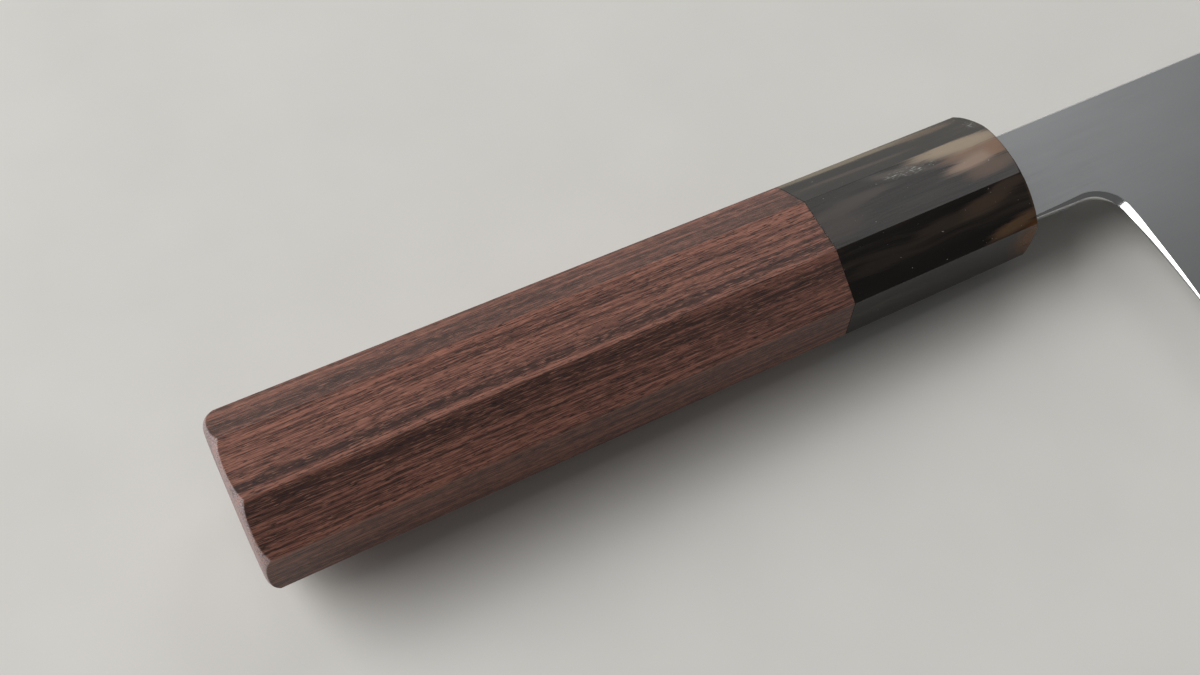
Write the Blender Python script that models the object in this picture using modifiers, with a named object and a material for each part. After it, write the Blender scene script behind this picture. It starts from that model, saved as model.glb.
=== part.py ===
# A kiritsuke kitchen knife with an octagonal wooden handle, lying on its side on a table.
#
# The pieces are modelled in the knife's own frame: X runs from the butt to the tip along the
# handle's axis, the cutting edge faces -Y, and Z is square to the blade. The knife is then laid
# down as it comes to rest, on the front rim of its ferrule and on the tip of its blade, centred
# on the origin with the table at Z = 0. All sizes are in metres.

from math import atan2, cos, pi, sin

import bmesh
import bpy
import numpy as np

# Clearance between a piece and its neighbour
FIT = 0.0003

# Handle, an octagon that tapers from the butt to the front of the ferrule
HANDLE_LENGTH = 0.140
FERRULE_LENGTH = 0.037
BUTT_HEIGHT = 0.0274
BUTT_THICKNESS = 0.0225
BUTT_BROAD_FLAT = 0.0112
BUTT_NARROW_FLAT = 0.0109
FRONT_HEIGHT = 0.0252
FRONT_THICKNESS = 0.0203
FRONT_BROAD_FLAT = 0.0102
FRONT_RIM_RADIUS = 0.0010

# The butt is eased by a turned arc, drawn out into an ellipse across the handle. It starts this far
# inside the broad flats, so that it is deepest at the handle's corners.
BUTT_EASE_INSET = 0.0012
BUTT_EASE_RADIUS = 0.0024
EASE_STRETCH = 1.24

# Dowel that joins the ferrule to the wood and holds the tang
DOWEL_DIAMETER = 0.015
BUTT_SOLID = 0.040
MOUTH_WALL = 0.006
SLOT_END_WALL = 0.003

# Resin that beds the tang in the dowel's slot
BOND_WALL = 0.0006
BOND_END = 0.0015

# Tang and neck of the blade
TANG_ROOT_HEIGHT = 0.0095
TANG_END_HEIGHT = 0.0060
TANG_ROOT_THICKNESS = 0.0020
TANG_END_THICKNESS = 0.0015
SHOULDER_LENGTH = 0.0020
SPINE_OFFSET = 0.0078
NECK_THICKNESS = 0.0022
NECK_LENGTH = 0.0184
NECK_HEIGHT_AT_FERRULE = 0.0176
NECK_HEIGHT_AT_MACHI = 0.0178
MACHI_RADIUS = 0.0054
CHOIL_SWEEP = 0.0009

# Blade
EDGE_LENGTH = 0.240
HEEL_HEIGHT = 0.049
EDGE_FLAT = 0.080
TIP_RISE = 0.011
EDGE_CURVE = 2.2
CLIP_LENGTH = 0.050
CLIP_BULGE = 0.0010
SPINE_DROP = 0.0010
POINT_HEIGHT = 0.0004
HEEL_THICKNESS = 0.0021
TIP_THICKNESS = 0.0009
FACE_DROP = 0.003
GRIND_HEIGHT = 0.032
BEVEL_WIDTH = 0.0008
BEVEL_THICKNESS = 0.0003
EDGE_LAND = 0.0001
BACK_EASE = 0.0003

# Places along the knife that follow from the sizes above
JOINT_X = HANDLE_LENGTH - FERRULE_LENGTH
BORE_END_X = HANDLE_LENGTH - MOUTH_WALL
DOWEL_FRONT_X = BORE_END_X - FIT
DOWEL_REAR_X = BUTT_SOLID + FIT
SLOT_END_X = DOWEL_REAR_X + SLOT_END_WALL
BOND_REAR_X = SLOT_END_X + FIT
TANG_END_X = BOND_REAR_X + BOND_END + FIT
SHOULDER_X = BORE_END_X
NECK_X = SHOULDER_X + SHOULDER_LENGTH
HEEL_X = HANDLE_LENGTH + NECK_LENGTH
MACHI_X = HEEL_X - CHOIL_SWEEP - MACHI_RADIUS
TIP_X = HEEL_X + EDGE_LENGTH
CLIP_X = TIP_X - CLIP_LENGTH
HEEL_Y = SPINE_OFFSET - HEEL_HEIGHT
TIP_Y = HEEL_Y + TIP_RISE

# How far the octagon's slanting flats cut in from the broad faces, for each unit across them. It is
# the same at both ends of the handle, so that the slanting flats are truly flat.
SLANT = (BUTT_THICKNESS - BUTT_NARROW_FLAT) / (BUTT_HEIGHT - BUTT_BROAD_FLAT)

# Modelling values: the finest gap that merges, how far a cutter runs past a face, the sides of a
# round piece, how far the easing's arc turns before it runs straight on, the angle over which an edge
# stays sharp, and how often the resting points are looked for
MERGE = 0.00001
OVERCUT = 0.001
ROUND_SIDES = 40
TURN_SIDES = 72
EASE_TURN = 1.3
EASE_STEPS = 6
RIM_STEPS = 4
SMOOTH_ANGLE = 0.35
REST_TRIES = 8

# Where the blade's surface is sampled: stations along each stretch, and rows up each face as shares
# of the way from the edge to the back, closer together near the edge
TANG_STATIONS = 6
NECK_STATIONS = 6
FILLET_STATIONS = 6
HEEL_STATIONS = 6
EDGE_STATIONS = 20
CLIP_STATIONS = 10
FACE_ROWS = (0.06, 0.13, 0.22, 0.33, 0.47, 0.64, 0.82)


def clear_scene():
    for thing in list(bpy.data.objects):
        bpy.data.objects.remove(thing, do_unlink=True)


def make_collection(name):
    group = bpy.data.collections.new(name)
    bpy.context.scene.collection.children.link(group)
    return group


def make_material(name, colour, roughness, metallic=0.0):
    material = bpy.data.materials.new(name)
    material.use_nodes = True
    shader = material.node_tree.nodes["Principled BSDF"]
    shader.inputs["Base Color"].default_value = (*colour, 1.0)
    shader.inputs["Roughness"].default_value = roughness
    shader.inputs["Metallic"].default_value = metallic
    return material


def mesh_object(name, bm, group):
    mesh = bpy.data.meshes.new(name)
    bm.to_mesh(mesh)
    bm.free()
    thing = bpy.data.objects.new(name, mesh)
    group.objects.link(thing)
    return thing


def loft(name, sections, group):
    """Closed solid through sections, each a place along X and a ring of (y, z) points."""
    bm = bmesh.new()
    rings = [[bm.verts.new((x, y, z)) for y, z in ring] for x, ring in sections]
    for near, far in zip(rings, rings[1:]):
        for i in range(len(near)):
            j = (i + 1) % len(near)
            bm.faces.new((near[i], near[j], far[j], far[i]))
    bm.faces.new(rings[0])
    bm.faces.new(rings[-1])
    bmesh.ops.recalc_face_normals(bm, faces=bm.faces)
    return mesh_object(name, bm, group)


def cylinder(name, radius, start_x, end_x, group):
    """Round bar along X."""
    bm = bmesh.new()
    bmesh.ops.create_cone(
        bm, cap_ends=True, segments=ROUND_SIDES,
        radius1=radius, radius2=radius, depth=end_x - start_x,
    )
    thing = mesh_object(name, bm, group)
    thing.rotation_euler = (0.0, pi / 2, 0.0)
    thing.location.x = (start_x + end_x) / 2
    return thing


def as_cutter(thing):
    thing.hide_render = True
    thing.display_type = "WIRE"
    return thing


def cut(thing, cutter, operation="DIFFERENCE"):
    boolean = thing.modifiers.new(cutter.name, "BOOLEAN")
    boolean.operation = operation
    boolean.object = as_cutter(cutter)


def handle_section(x):
    """Octagon of the handle at x, as (y, z) corners. Broad flats face Z, narrow flats face Y."""
    along = x / HANDLE_LENGTH

    def taper(at_butt, at_front):
        return (at_butt + (at_front - at_butt) * along) / 2

    height = taper(BUTT_HEIGHT, FRONT_HEIGHT)
    thickness = taper(BUTT_THICKNESS, FRONT_THICKNESS)
    broad = taper(BUTT_BROAD_FLAT, FRONT_BROAD_FLAT)
    narrow = thickness - (height - broad) * SLANT
    quarter = [(height, narrow), (broad, thickness)]
    left = [(-y, z) for y, z in reversed(quarter)]
    return quarter + left + [(-y, -z) for y, z in quarter + left]


def tang_section(x, margin):
    """Rectangle round the tang at x, wider than the tang by the margin on every side."""
    along = (x - TANG_END_X) / (SHOULDER_X - TANG_END_X)
    height = (TANG_END_HEIGHT + (TANG_ROOT_HEIGHT - TANG_END_HEIGHT) * along) / 2 + margin
    thickness = (TANG_END_THICKNESS + (TANG_ROOT_THICKNESS - TANG_END_THICKNESS) * along) / 2 + margin
    return [(height, thickness), (-height, thickness), (-height, -thickness), (height, -thickness)]


def neck_bottom(x):
    """Y of the neck's lower edge at x."""
    along = (x - HANDLE_LENGTH) / (MACHI_X - HANDLE_LENGTH)
    height = NECK_HEIGHT_AT_FERRULE + (NECK_HEIGHT_AT_MACHI - NECK_HEIGHT_AT_FERRULE) * along
    return SPINE_OFFSET - height


def mouth_section(x):
    """Rectangle round the neck at x, with the fitting clearance."""
    top = SPINE_OFFSET + FIT
    bottom = neck_bottom(x) - FIT
    side = NECK_THICKNESS / 2 + FIT
    return [(top, side), (bottom, side), (bottom, -side), (top, -side)]


def edge_y(x):
    """Y of the cutting edge: flat from the heel, then rising ever faster towards the tip."""
    along = np.clip((x - HEEL_X - EDGE_FLAT) / (EDGE_LENGTH - EDGE_FLAT), 0.0, 1.0)
    return HEEL_Y + TIP_RISE * along ** EDGE_CURVE


def spine_y(x):
    """Y of the back: nearly straight from the neck, then down the angled clip to the point."""
    along = np.clip((x - HEEL_X) / (CLIP_X - HEEL_X), 0.0, 1.0)
    back = SPINE_OFFSET - SPINE_DROP * along ** 2
    down = np.clip((x - CLIP_X) / CLIP_LENGTH, 0.0, 1.0)
    fall = SPINE_OFFSET - SPINE_DROP - TIP_Y - POINT_HEIGHT
    return back - fall * down + CLIP_BULGE * 4.0 * down * (1.0 - down)


def half_thickness(x, y):
    """Half the steel's thickness: flat faces that taper to the tip, ground convex to the edge."""
    lengthwise = np.interp(
        x,
        [TANG_END_X, SHOULDER_X, NECK_X, HANDLE_LENGTH, HEEL_X, TIP_X],
        [TANG_END_THICKNESS, TANG_ROOT_THICKNESS, NECK_THICKNESS, NECK_THICKNESS,
         HEEL_THICKNESS, TIP_THICKNESS],
    ) / 2
    on_blade = np.clip((x - MACHI_X) / MACHI_RADIUS, 0.0, 1.0)
    face = lengthwise - FACE_DROP * on_blade * (SPINE_OFFSET - y)
    above_edge = y - edge_y(x)
    above_bevel = np.clip((above_edge - BEVEL_WIDTH) / (GRIND_HEIGHT - BEVEL_WIDTH), 0.0, 1.0)
    shoulder = BEVEL_THICKNESS / 2
    ground = shoulder + (face - shoulder) * (1.0 - (1.0 - above_bevel) ** 2)
    up_bevel = np.clip(above_edge / BEVEL_WIDTH, 0.0, 1.0)
    bevel = EDGE_LAND / 2 + (shoulder - EDGE_LAND / 2) * up_bevel
    return np.where(above_edge < BEVEL_WIDTH, bevel, ground)


def steps(count):
    """Shares of a stretch that has already begun, up to its end."""
    return np.arange(1, count + 1) / count


def blade_stations():
    """Matching (x, y) points along the back and along the underside, from tang to tip."""
    back, under = [], []

    def add(back_x, back_y, under_x, under_y):
        back.append((back_x, back_y))
        under.append((under_x, under_y))

    for x in np.linspace(TANG_END_X, SHOULDER_X, TANG_STATIONS):
        half = tang_section(x, 0.0)[0][0]
        add(x, half, x, -half)
    for x in np.linspace(NECK_X, MACHI_X, NECK_STATIONS):
        add(x, SPINE_OFFSET, x, neck_bottom(x))
    # the fillet turns from the neck down the heel while the matching point on the back moves on
    machi_y = neck_bottom(MACHI_X) - MACHI_RADIUS
    for turn in steps(FILLET_STATIONS):
        angle = turn * pi / 2
        back_x = MACHI_X + MACHI_RADIUS * turn
        add(back_x, spine_y(back_x),
            MACHI_X + MACHI_RADIUS * sin(angle), machi_y + MACHI_RADIUS * cos(angle))
    # down the choil, which sweeps forward to the heel, the stations fan out, so that none runs outside
    # the steel
    fan_x = HEEL_X + HEEL_HEIGHT / 2
    for down in steps(HEEL_STATIONS):
        back_x = HEEL_X + (fan_x - HEEL_X) * down
        under_x = HEEL_X - CHOIL_SWEEP * (1.0 - down) ** 3
        add(back_x, spine_y(back_x), under_x, machi_y + (HEEL_Y - machi_y) * down)
    for along in steps(EDGE_STATIONS):
        back_x = fan_x + (CLIP_X - fan_x) * along
        under_x = HEEL_X + (CLIP_X - HEEL_X) * along
        add(back_x, spine_y(back_x), under_x, edge_y(under_x))
    for along in steps(CLIP_STATIONS):
        x = CLIP_X + CLIP_LENGTH * along
        add(x, spine_y(x), x, edge_y(x))
    return np.array(back), np.array(under)


def blade_points():
    """Rows of (x, y, z) points over the blade's upper half, closed down to Z = 0 all round."""
    back, under = blade_stations()
    run = back - under
    length = np.linalg.norm(run, axis=1, keepdims=True)
    direction = run / length
    on_edge = np.abs(under[:, 1] - edge_y(under[:, 0])) < MERGE
    low_step = np.minimum(np.where(on_edge[:, None], BEVEL_WIDTH, BACK_EASE), length / 4)
    low = under + direction * low_step
    high = back - direction * np.minimum(BACK_EASE, length / 4)
    rows = [under, under, low]
    rows += [low + (high - low) * share for share in FACE_ROWS]
    rows += [high, back, back]
    plan = np.stack(rows)
    height = half_thickness(plan[..., 0], plan[..., 1])
    # the long corners are eased, except along the cutting edge, and both borders close at Z = 0
    height[1] = np.where(on_edge, EDGE_LAND / 2, height[1] - BACK_EASE)
    height[-2] = np.minimum(height[-2], np.maximum(height[-3] - BACK_EASE, EDGE_LAND / 2))
    height[[0, -1]] = 0.0
    points = np.concatenate([plan, height[..., None]], axis=2)
    tang_end, tip_end = points[:, :1].copy(), points[:, -1:].copy()
    tang_end[..., 2] = tip_end[..., 2] = 0.0
    return np.concatenate([tang_end, points, tip_end], axis=1)


def make_blade(group):
    points = blade_points()
    row_count, column_count = points.shape[:2]
    bm = bmesh.new()
    bmesh.ops.create_grid(bm, x_segments=column_count - 1, y_segments=row_count - 1, size=1.0)
    for vert in bm.verts:
        column = round((vert.co.x + 1.0) / 2.0 * (column_count - 1))
        row = round((vert.co.y + 1.0) / 2.0 * (row_count - 1))
        vert.co = points[row, column]
    bmesh.ops.remove_doubles(bm, verts=bm.verts, dist=MERGE / 10)
    blade = mesh_object("blade", bm, group)
    mirror = blade.modifiers.new("other side", "MIRROR")
    mirror.use_axis = (False, False, True)
    mirror.merge_threshold = MERGE
    return blade


def butt_envelope(group):
    """Turned and stretched solid that the handle's butt is kept inside."""
    radius = BUTT_EASE_RADIUS
    start = BUTT_THICKNESS / 2 - BUTT_EASE_INSET
    turns = EASE_TURN * steps(EASE_STEPS)
    arc = [(start + radius * sin(turn), radius * (1.0 - cos(turn))) for turn in turns]
    out, depth = arc[-1]
    straight = (out + radius * cos(EASE_TURN), depth + radius * sin(EASE_TURN))
    wide = BUTT_THICKNESS
    profile = [(0.0, HANDLE_LENGTH), (wide, HANDLE_LENGTH), (wide, straight[1]), straight]
    profile += arc[::-1] + [(start, 0.0), (0.0, 0.0)]
    bm = bmesh.new()
    corners = [bm.verts.new((r, 0.0, z)) for r, z in profile]
    for first, second in zip(corners, corners[1:]):
        bm.edges.new((first, second))
    envelope = mesh_object("butt_easing", bm, group)
    screw = envelope.modifiers.new("turn", "SCREW")
    screw.steps = screw.render_steps = TURN_SIDES
    screw.use_merge_vertices = True
    screw.merge_threshold = MERGE
    envelope.rotation_euler = (0.0, pi / 2, 0.0)
    envelope.scale = (1.0, EASE_STRETCH, 1.0)
    return envelope


def make_handle_body(group, cutters):
    body = loft("handle_body", [(x, handle_section(x)) for x in (-OVERCUT, JOINT_X - FIT / 2)], group)
    cut(body, butt_envelope(cutters), "INTERSECT")
    bore_radius = DOWEL_DIAMETER / 2 + FIT
    cut(body, cylinder("body_bore", bore_radius, BUTT_SOLID, JOINT_X + OVERCUT, cutters))
    return body


def make_ferrule(group, cutters):
    ferrule = loft("ferrule", [(x, handle_section(x)) for x in (JOINT_X + FIT / 2, HANDLE_LENGTH)], group)
    bm = bmesh.new()
    bm.from_mesh(ferrule.data)
    rim = [edge for edge in bm.edges if all(vert.co.x > HANDLE_LENGTH - MERGE for vert in edge.verts)]
    bmesh.ops.bevel(bm, geom=rim, offset=FRONT_RIM_RADIUS, segments=RIM_STEPS, profile=0.5, affect="EDGES")
    bm.to_mesh(ferrule.data)
    bm.free()
    bore_radius = DOWEL_DIAMETER / 2 + FIT
    cut(ferrule, cylinder("ferrule_bore", bore_radius, JOINT_X - OVERCUT, BORE_END_X, cutters))
    mouth = [(x, mouth_section(x)) for x in (BORE_END_X - OVERCUT, HANDLE_LENGTH + OVERCUT)]
    cut(ferrule, loft("mouth_slot", mouth, cutters))
    return ferrule


def make_dowel(group, cutters):
    dowel = cylinder("dowel", DOWEL_DIAMETER / 2, DOWEL_REAR_X, DOWEL_FRONT_X, group)
    margin = FIT + BOND_WALL + FIT
    slot = [(x, tang_section(x, margin)) for x in (SLOT_END_X, DOWEL_FRONT_X + OVERCUT)]
    cut(dowel, loft("dowel_slot", slot, cutters))
    return dowel


def make_tang_bond(group, cutters):
    margin = FIT + BOND_WALL
    bond = loft("tang_bond", [(x, tang_section(x, margin)) for x in (BOND_REAR_X, DOWEL_FRONT_X)], group)
    inside = [(x, tang_section(x, FIT)) for x in (TANG_END_X - FIT, DOWEL_FRONT_X + OVERCUT)]
    cut(bond, loft("tang_cavity", inside, cutters))
    return bond


def lay_down(root, parts, resting):
    """Lean the knife on the resting parts, and centre it on the origin with its lowest point at Z = 0."""
    bpy.context.view_layer.update()
    depsgraph = bpy.context.evaluated_depsgraph_get()
    points = {}
    for part in parts:
        seen = part.evaluated_get(depsgraph)
        points[part] = np.array([seen.matrix_world @ vert.co for vert in seen.data.vertices])
    pitch = 0.0
    for _ in range(REST_TRIES):
        near, far = [points[part][np.argmin(points[part] @ (-sin(pitch), 0.0, cos(pitch)))] for part in resting]
        pitch = atan2(far[2] - near[2], far[0] - near[0])
    turned = np.concatenate(list(points.values()))
    turned = turned @ np.array([(cos(pitch), 0.0, -sin(pitch)), (0.0, 1.0, 0.0), (sin(pitch), 0.0, cos(pitch))])
    low, high = turned.min(axis=0), turned.max(axis=0)
    root.rotation_euler = (0.0, pitch, 0.0)
    root.location = (-(low[0] + high[0]) / 2, -(low[1] + high[1]) / 2, -low[2])


def main():
    clear_scene()
    knife = make_collection("kiritsuke_knife")
    cutters = make_collection("cutters")
    root = bpy.data.objects.new("knife_root", None)
    knife.objects.link(root)

    blade = make_blade(knife)
    ferrule = make_ferrule(knife, cutters)
    body = make_handle_body(knife, cutters)
    dowel = make_dowel(knife, cutters)
    bond = make_tang_bond(knife, cutters)

    finishes = {
        blade: make_material("satin_steel", (0.42, 0.43, 0.43), 0.28, metallic=1.0),
        ferrule: make_material("buffalo_horn", (0.035, 0.028, 0.022), 0.18),
        body: make_material("oiled_rosewood", (0.105, 0.042, 0.030), 0.45),
        dowel: make_material("magnolia_wood", (0.50, 0.38, 0.22), 0.65),
        bond: make_material("set_resin", (0.30, 0.16, 0.06), 0.30),
    }
    for part, material in finishes.items():
        part.data.materials.append(material)
        part.parent = root
    for part in (blade, dowel):
        part.data.shade_smooth()
        part.data.set_sharp_from_angle(angle=SMOOTH_ANGLE)
    for cutter in cutters.objects:
        cutter.parent = root
    lay_down(root, list(finishes), (ferrule, blade))


main()
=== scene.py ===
from math import pi, radians

import bpy
import numpy as np
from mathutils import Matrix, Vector


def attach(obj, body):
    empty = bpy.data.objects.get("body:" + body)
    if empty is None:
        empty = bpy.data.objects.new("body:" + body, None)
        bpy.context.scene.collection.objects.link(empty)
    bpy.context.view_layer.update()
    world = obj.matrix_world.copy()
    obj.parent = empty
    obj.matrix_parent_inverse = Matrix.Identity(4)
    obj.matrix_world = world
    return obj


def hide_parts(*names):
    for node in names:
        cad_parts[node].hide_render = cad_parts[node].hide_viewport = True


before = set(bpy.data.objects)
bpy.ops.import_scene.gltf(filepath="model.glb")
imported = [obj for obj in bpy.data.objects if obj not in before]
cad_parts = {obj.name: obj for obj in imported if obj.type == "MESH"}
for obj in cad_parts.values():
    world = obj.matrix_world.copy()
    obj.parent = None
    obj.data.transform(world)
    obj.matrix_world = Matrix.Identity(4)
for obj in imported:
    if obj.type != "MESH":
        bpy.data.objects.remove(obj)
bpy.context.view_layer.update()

print("frame loaded:", ", ".join(sorted(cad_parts)))

# Every shape is worked out in the knife's own frame, in metres: X from the butt to the tip along the
# handle, the cutting edge towards -Y, Z square to the blade. Then it is laid down as the CAD is, leaning
# on the ferrule's front rim and on the tip.
lie = {"pitch": 0.0388023, "place": (-0.1988568, 0.0137509, 0.0155724)}

handle = {
    "length": 0.140, "ferruleLength": 0.037,
    "buttHeight": 0.0274, "buttThickness": 0.0225, "buttBroadFlat": 0.0112, "buttNarrowFlat": 0.0109,
    "frontHeight": 0.0252, "frontThickness": 0.0203, "frontBroadFlat": 0.0102,
    "arrisRadius": 0.00015,                      # the long arrises are crisp, just broken by sanding
    "easeTurn": 1.3,                             # both ends are eased by an arc that turns this far
    # the mesh: points round each arris and along each flat, the first and last this share from its ends,
    # rings over an easing and round its crisp edge, and how far past the edge one more ring lies
    "cornerSteps": 5, "flatSteps": 15, "flatGather": 0.012,
    "easeSteps": 16, "edgeSteps": 6, "edgeLead": 0.00005,
}
buttEnd = {
    "easeInset": 0.0012, "easeRadius": 0.0024, "edgeRadius": 0.00014,
    # the ellipse where the easing starts, stretched towards the back and towards the edge
    "spineStretch": 1.208, "edgeStretch": 1.24,
    "boreRadius": 0.0078, "solid": 0.040, "boreEase": 0.0002,
    "seamGap": 0.00002, "seamRadius": 0.00006,
    # the mesh: where the easing's first ring lies on the way out, rings on the sides and in the bore
    "faceFrom": 0.80, "sideSteps": 34, "boreAt": (0.085, 0.070, 0.055),
}
ferruleFront = {
    "easeInset": 0.0009, "easeRadius": 0.0021, "edgeRadius": 0.00016,
    "spineStretch": 1.24, "edgeStretch": 1.29,
    "boreRadius": 0.0078, "boreEnd": 0.134, "boreLip": 0.0006, "boreEase": 0.0003,
    "mouthTop": 0.0078, "mouthHeight": 0.0176, "mouthThickness": 0.0022, "mouthGap": 0.00009,
    "mouthRadius": 0.00012,
    # the mesh as at the butt, rings down the mouth's walls, and the angle from which an edge shades sharp
    "faceFrom": 0.86, "sideSteps": 20, "boreAt": (0.122, 0.110), "wallAt": (0.0010, 0.0030),
    "sharpAngle": 50.0,
}
blade = {
    "tangStart": 0.0454, "shoulder": 0.134, "neck": 0.136, "tangEndHeight": 0.0060, "tangRootHeight": 0.0095,
    "tangEndThickness": 0.0015, "tangRootThickness": 0.0020,
    "spineOffset": 0.0078, "neckThickness": 0.0022, "neckLength": 0.0184,
    "neckHeightAtFerrule": 0.0176, "neckHeightAtMachi": 0.0178, "machiRadius": 0.0054, "machiTurn": 84.0,
    "choilSweep": 0.0009,
    "edgeLength": 0.240, "heelHeight": 0.049, "edgeFlat": 0.080, "tipRise": 0.011, "edgeCurve": 2.2,
    "clipLength": 0.050, "clipBulge": 0.0010, "spineDrop": 0.0010, "pointHeight": 0.0004,
    "heelThickness": 0.0021, "tipThickness": 0.0009, "faceDrop": 0.003, "grindHeight": 0.032,
    "bevelWidth": 0.0008, "bevelThickness": 0.0003, "edgeLand": 0.0001,
    "backRounding": 0.00015,                           # the spine is eased
    # neck and choil are relieved: how far in, at each height below the spine, how deep as a share of half
    # the steel, and how flat the relief is, from 0 for round to 1 for straight
    "reliefAt": [0.0170, 0.0185, 0.0205, 0.0220, 0.0235, 0.0255, 0.0285, 0.0315, 0.0370, 0.0490],
    "reliefIn": [0.00088, 0.00094, 0.00108, 0.00113, 0.00106, 0.00090, 0.00068, 0.00056, 0.00040, 0.0],
    "reliefDepth": 0.88, "flatAt": [0.0184, 0.0196, 0.0208], "reliefFlatness": [0.20, 0.40, 1.0],
    "reliefAtFerrule": 0.35,                           # the relief fades along the neck towards the ferrule
    # the mesh: rings along each part, points round each edge and up each face, and the sharp edges' angle
    "rings": {"tang": 16, "neck": 24, "corner": 28, "choil": 48, "edge": 120, "clip": 60},
    "roundSteps": 10, "faceSteps": 34, "sharpAngle": 40.0,
}
# along the knife: the heel, the start of the rounded inner corner and the start of the clip
heelX = handle["length"] + blade["neckLength"]
machiX = heelX - blade["choilSweep"] - blade["machiRadius"]
clipX = heelX + blade["edgeLength"] - blade["clipLength"]


def toLinear(text):
    # sRGB hex to a linear RGBA: the power curve above 0.04045, a straight line below it
    srgb = np.array([int(text[i:i + 2], 16) for i in (1, 3, 5)]) / 255.0
    linear = np.where(srgb > 0.04045, ((srgb + 0.055) / 1.055) ** 2.4, srgb / 12.92)
    return (*linear, 1.0)


def layDown(points):
    # turned about Y by the pitch, then moved to the CAD's place
    c, s = np.cos(lie["pitch"]), np.sin(lie["pitch"])
    x, y, z = points[..., 0], points[..., 1], points[..., 2]
    return np.stack([x * c + z * s, y, z * c - x * s], axis=-1) + np.array(lie["place"])


def wrapRings(count, across, closed):
    # quads between each ring and the next, and from the last ring back to the first if closed
    ring = np.arange(count if closed else count - 1)[:, None]
    after = (ring + 1) % count
    i = np.arange(across)[None, :]
    j = (i + 1) % across
    return np.stack([ring * across + i, ring * across + j, after * across + j, after * across + i],
                    axis=-1).reshape(-1, 4)


def volumeOf(points, quads):
    # signed volume: a sixth of each triangle's triple product, summed
    a, b, c, d = (points[quads[:, k]] for k in range(4))
    return (np.einsum("ij,ij->", a, np.cross(b, c)) + np.einsum("ij,ij->", a, np.cross(c, d))) / 6.0


def makePiece(name, rings, closed, standsFor, marks=None, sharp=None):
    # rings is (ring, place round the ring, xyz): closed carries the last ring back to the first, and
    # otherwise both ends are shut with a fan to the middle of their ring
    count, across = rings.shape[:2]
    points = rings.reshape(-1, 3)
    quads = wrapRings(count, across, closed)
    fans = []
    if not closed:
        middles = rings[[0, -1]].mean(axis=1)
        points = np.concatenate([points, middles])
        i = np.arange(across)
        j = (i + 1) % across
        last = (count - 1) * across
        fans = [np.stack([j, i, np.full(across, count * across)], axis=-1),
                np.stack([last + i, last + j, np.full(across, count * across + 1)], axis=-1)]
    if volumeOf(points, quads) < 0.0:
        quads = quads[:, ::-1]
        fans = [fan[:, ::-1] for fan in fans]
    faces = quads.tolist() + [face for fan in fans for face in fan.tolist()]
    mesh = bpy.data.meshes.new(name)
    mesh.from_pydata(layDown(points).tolist(), [], faces)
    for markName, values in (marks or {}).items():
        values = values.reshape(-1)
        values = np.concatenate([values, [values[0], values[-1]][:len(points) - len(values)]])
        mark = mesh.attributes.new(markName, "FLOAT", "POINT")
        mark.data.foreach_set("value", values.astype(np.float32))
    mesh.shade_smooth()
    if sharp:
        mesh.set_sharp_from_angle(angle=radians(sharp))
    piece = bpy.data.objects.new(name, mesh)
    bpy.context.scene.collection.objects.link(piece)
    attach(piece, "root")
    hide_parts(standsFor)
    return piece


def octagonRings(x, inset, rounding):
    # Octagon of the handle at each x, drawn in by inset, its corners rounded: the corners of a smaller
    # octagon, where neighbouring flats meet, plus a turning radius. Gives (ring, place, yz).
    h = handle
    share = x / h["length"]
    height = h["buttHeight"] + (h["frontHeight"] - h["buttHeight"]) * share
    thickness = h["buttThickness"] + (h["frontThickness"] - h["buttThickness"]) * share
    broad = h["buttBroadFlat"] + (h["frontBroadFlat"] - h["buttBroadFlat"]) * share
    slant = (h["buttThickness"] - h["buttNarrowFlat"]) / (h["buttHeight"] - h["buttBroadFlat"])
    lean = np.arctan2(1.0, slant)
    facing = np.array([0.0, lean, pi / 2, pi - lean, pi, pi + lean, 1.5 * pi, 2 * pi - lean])
    slanting = (np.cos(lean) * broad + np.sin(lean) * thickness) / 2
    distance = np.stack([height / 2, slanting, thickness / 2, slanting] * 2, axis=1)
    distance = distance - (inset + rounding)[:, None]
    following = np.roll(facing, -1)
    turn = (following - facing) % (2 * pi)
    beyond = np.roll(distance, -1, axis=1)
    corners = np.stack([distance * np.sin(following) - beyond * np.sin(facing),
                        beyond * np.cos(facing) - distance * np.cos(following)], axis=-1)
    corners = corners / np.sin(turn)[:, None]
    angle = facing[:, None] + turn[:, None] * np.linspace(0.0, 1.0, h["cornerSteps"])
    outward = np.stack([np.cos(angle), np.sin(angle)], axis=-1)
    arcs = corners[:, :, None, :] + rounding[:, None, None, None] * outward
    start, end = arcs[:, :, -1:, :], np.roll(arcs[:, :, :1, :], -1, axis=1)
    # the flats' inner points gather near their ends, so that each flat shades flat up to its arris
    along = np.linspace(0.0, 1.0, h["flatSteps"] + 2)[1:-1]
    along[0], along[-1] = h["flatGather"], 1.0 - h["flatGather"]
    flats = start + (end - start) * along[:, None]
    return np.concatenate([arcs, flats], axis=2).reshape(len(x), -1, 2)


def onSide(x):
    # The handle's sides are straight, so a point at any x lies between its matching points at the ends
    ends = octagonRings(np.array([0.0, handle["length"]]), np.zeros(2), np.full(2, handle["arrisRadius"]))
    share = (x / handle["length"])[..., None]
    return ends[0] + (ends[1] - ends[0]) * share


def withX(x, yz):
    # puts x before each point's y and z
    return np.concatenate([np.broadcast_to(x[..., None], yz.shape[:-1] + (1,)), yz], axis=-1)


def roundBore(x, radius, ring):
    # a circle at each x, each of its points at the same bearing as the octagon's
    bearing = ring / np.linalg.norm(ring, axis=-1, keepdims=True)
    return withX(np.repeat(x[:, None], len(ring), axis=1), np.broadcast_to(bearing, (len(x),) + ring.shape)
                 * radius[:, None, None])


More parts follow.
